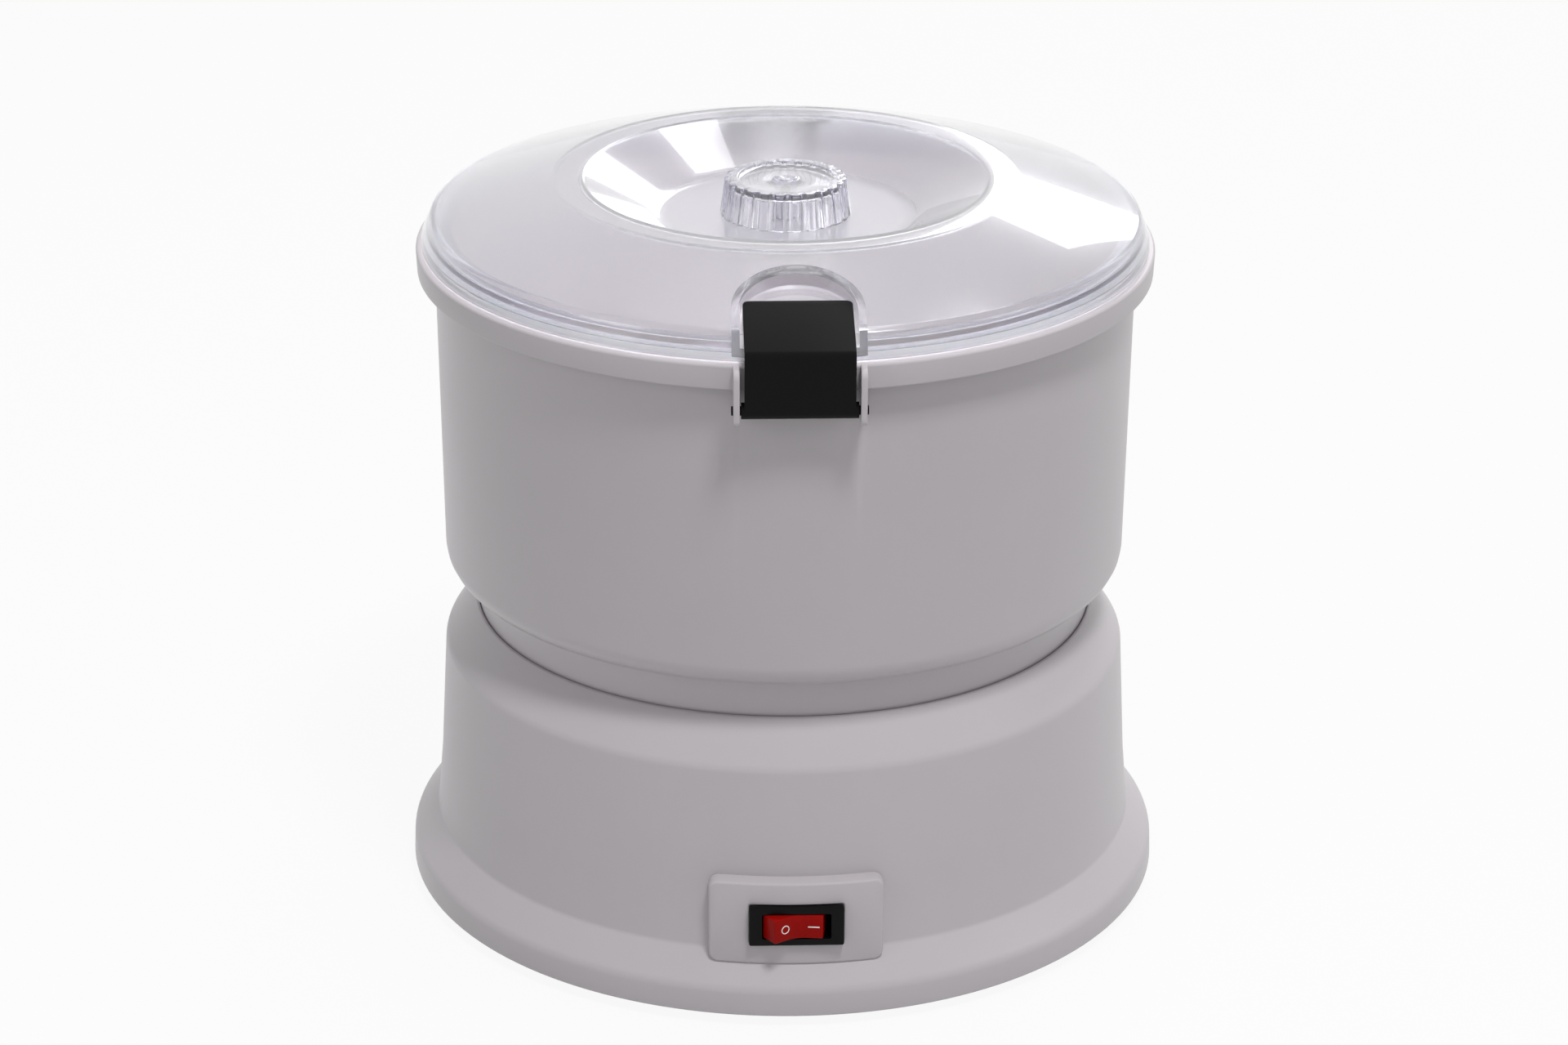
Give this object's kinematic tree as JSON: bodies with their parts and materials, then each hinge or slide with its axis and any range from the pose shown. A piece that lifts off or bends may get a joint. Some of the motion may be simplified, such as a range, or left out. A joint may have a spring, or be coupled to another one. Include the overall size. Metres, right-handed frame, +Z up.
{
  "type": "electric potato peeler",
  "caption": "Countertop peeler with a round motor base, rocker switch, lift-off drum with a turning abrasive disc, and a clear latched lid with a sunk knob.",
  "frame": {"origin": "middle of the base on the table", "axes": "+Z up along the spindle, the switch and the front latch face -Y"},
  "size_m": [0.26, 0.26, 0.25],
  "materials": {
    "body_plastic": "moulded ABS, satin gloss",
    "plate_plastic": "moulded, fine texture",
    "clear_plastic": "clear moulded styrene acrylonitrile",
    "black_plastic": "moulded, satin",
    "red_plastic": "translucent red, polished",
    "rubber": "soft moulded rubber",
    "silicone": "soft silicone",
    "steel": "zinc plated",
    "laminations": "stacked silicon steel",
    "copper": "enamelled copper",
    "brass": "machined",
    "gear_plastic": "acetal",
    "disc_plastic": "moulded ABS",
    "grit": "bonded abrasive grit"
  },
  "bodies": {
    "base": {"base_housing": "body_plastic", "base_plate": "plate_plastic", "switch_housing": "black_plastic", "terminal_block": "black_plastic", "coil_bobbin": "black_plastic", "suction_foot_1": "rubber", "suction_foot_2": "rubber", "suction_foot_3": "rubber", "suction_foot_4": "rubber", "cord_grommet": "rubber", "shaft_seal": "rubber", "base_plate_screws": "steel", "gear_plate": "steel", "gear_plate_screws": "steel", "idler_axle": "steel", "motor_screws": "steel", "motor_spacers": "steel", "upper_motor_bracket": "steel", "lower_motor_bracket": "steel", "stator_core": "laminations", "stator_coil": "copper", "shading_rings": "copper", "switch_terminals": "brass", "lower_bush": "brass", "upper_bush": "brass", "upper_motor_bush": "brass", "lower_motor_bush": "brass"},
    "rocker": {"switch_rocker": "red_plastic"},
    "rotor": {"motor_shaft": "steel", "rotor_core": "laminations", "motor_pinion": "gear_plastic", "cooling_fan": "black_plastic"},
    "idler": {"idler_gear": "gear_plastic"},
    "spindle": {"drive_spindle": "steel", "output_gear": "gear_plastic", "spindle_circlip": "steel", "thrust_washer": "steel"},
    "drum": {"drum_shell": "body_plastic"},
    "disc": {"peeling_disc": "disc_plastic", "grit_ring": "grit"},
    "lid": {"lid_shell": "clear_plastic", "lid_knob": "clear_plastic", "knob_screw": "steel", "lid_seal": "silicone"},
    "front_latch": {"front_latch": "black_plastic", "front_latch_pin": "black_plastic"},
    "rear_latch": {"rear_latch": "black_plastic", "rear_latch_pin": "black_plastic"}
  },
  "joints": [
    {"name": "rocker_tilt", "type": "hinge", "parent": "base", "child": "rocker", "pos_m": [0, -0.1254, 0.035], "axis": [0, 0, -1], "range_deg": [0, 24]},
    {"name": "drum_lift", "type": "slide", "parent": "base", "child": "drum", "axis": [0, 0, 1], "range_m": [0, 0.065]},
    {"name": "disc_spin", "type": "hinge", "parent": "drum", "child": "disc", "pos_m": [0, 0, 0.123], "axis": [0, 0, 1], "continuous": true},
    {"name": "spindle_spin", "type": "hinge", "parent": "base", "child": "spindle", "pos_m": [0, 0, 0.1], "axis": [0, 0, 1], "continuous": true},
    {"name": "idler_spin", "type": "hinge", "parent": "base", "child": "idler", "pos_m": [-0.03641, -0.01325, 0.08], "axis": [0, 0, 1], "continuous": true},
    {"name": "rotor_spin", "type": "hinge", "parent": "base", "child": "rotor", "pos_m": [-0.02091, 0.01359, 0.04], "axis": [0, 0, 1], "continuous": true},
    {"name": "lid_lift", "type": "slide", "parent": "drum", "child": "lid", "axis": [0, 0, 1], "range_m": [0, 0.04]},
    {"name": "front_latch_swing", "type": "hinge", "parent": "drum", "child": "front_latch", "pos_m": [0, -0.1244, 0.2142], "axis": [1, 0, 0], "range_deg": [0, 170]},
    {"name": "rear_latch_swing", "type": "hinge", "parent": "drum", "child": "rear_latch", "pos_m": [0, 0.1244, 0.2142], "axis": [-1, 0, 0], "range_deg": [0, 170]}
  ],
  "couplings": [
    {"joint": "spindle_spin", "follows": "disc_spin", "ratio": 1},
    {"joint": "idler_spin", "follows": "disc_spin", "ratio": -4.1667},
    {"joint": "rotor_spin", "follows": "disc_spin", "ratio": 17.361},
    {"joint": "front_latch_swing", "follows": "lid_lift", "rad_per_m": 72},
    {"joint": "rear_latch_swing", "follows": "lid_lift", "rad_per_m": 72}
  ]
}
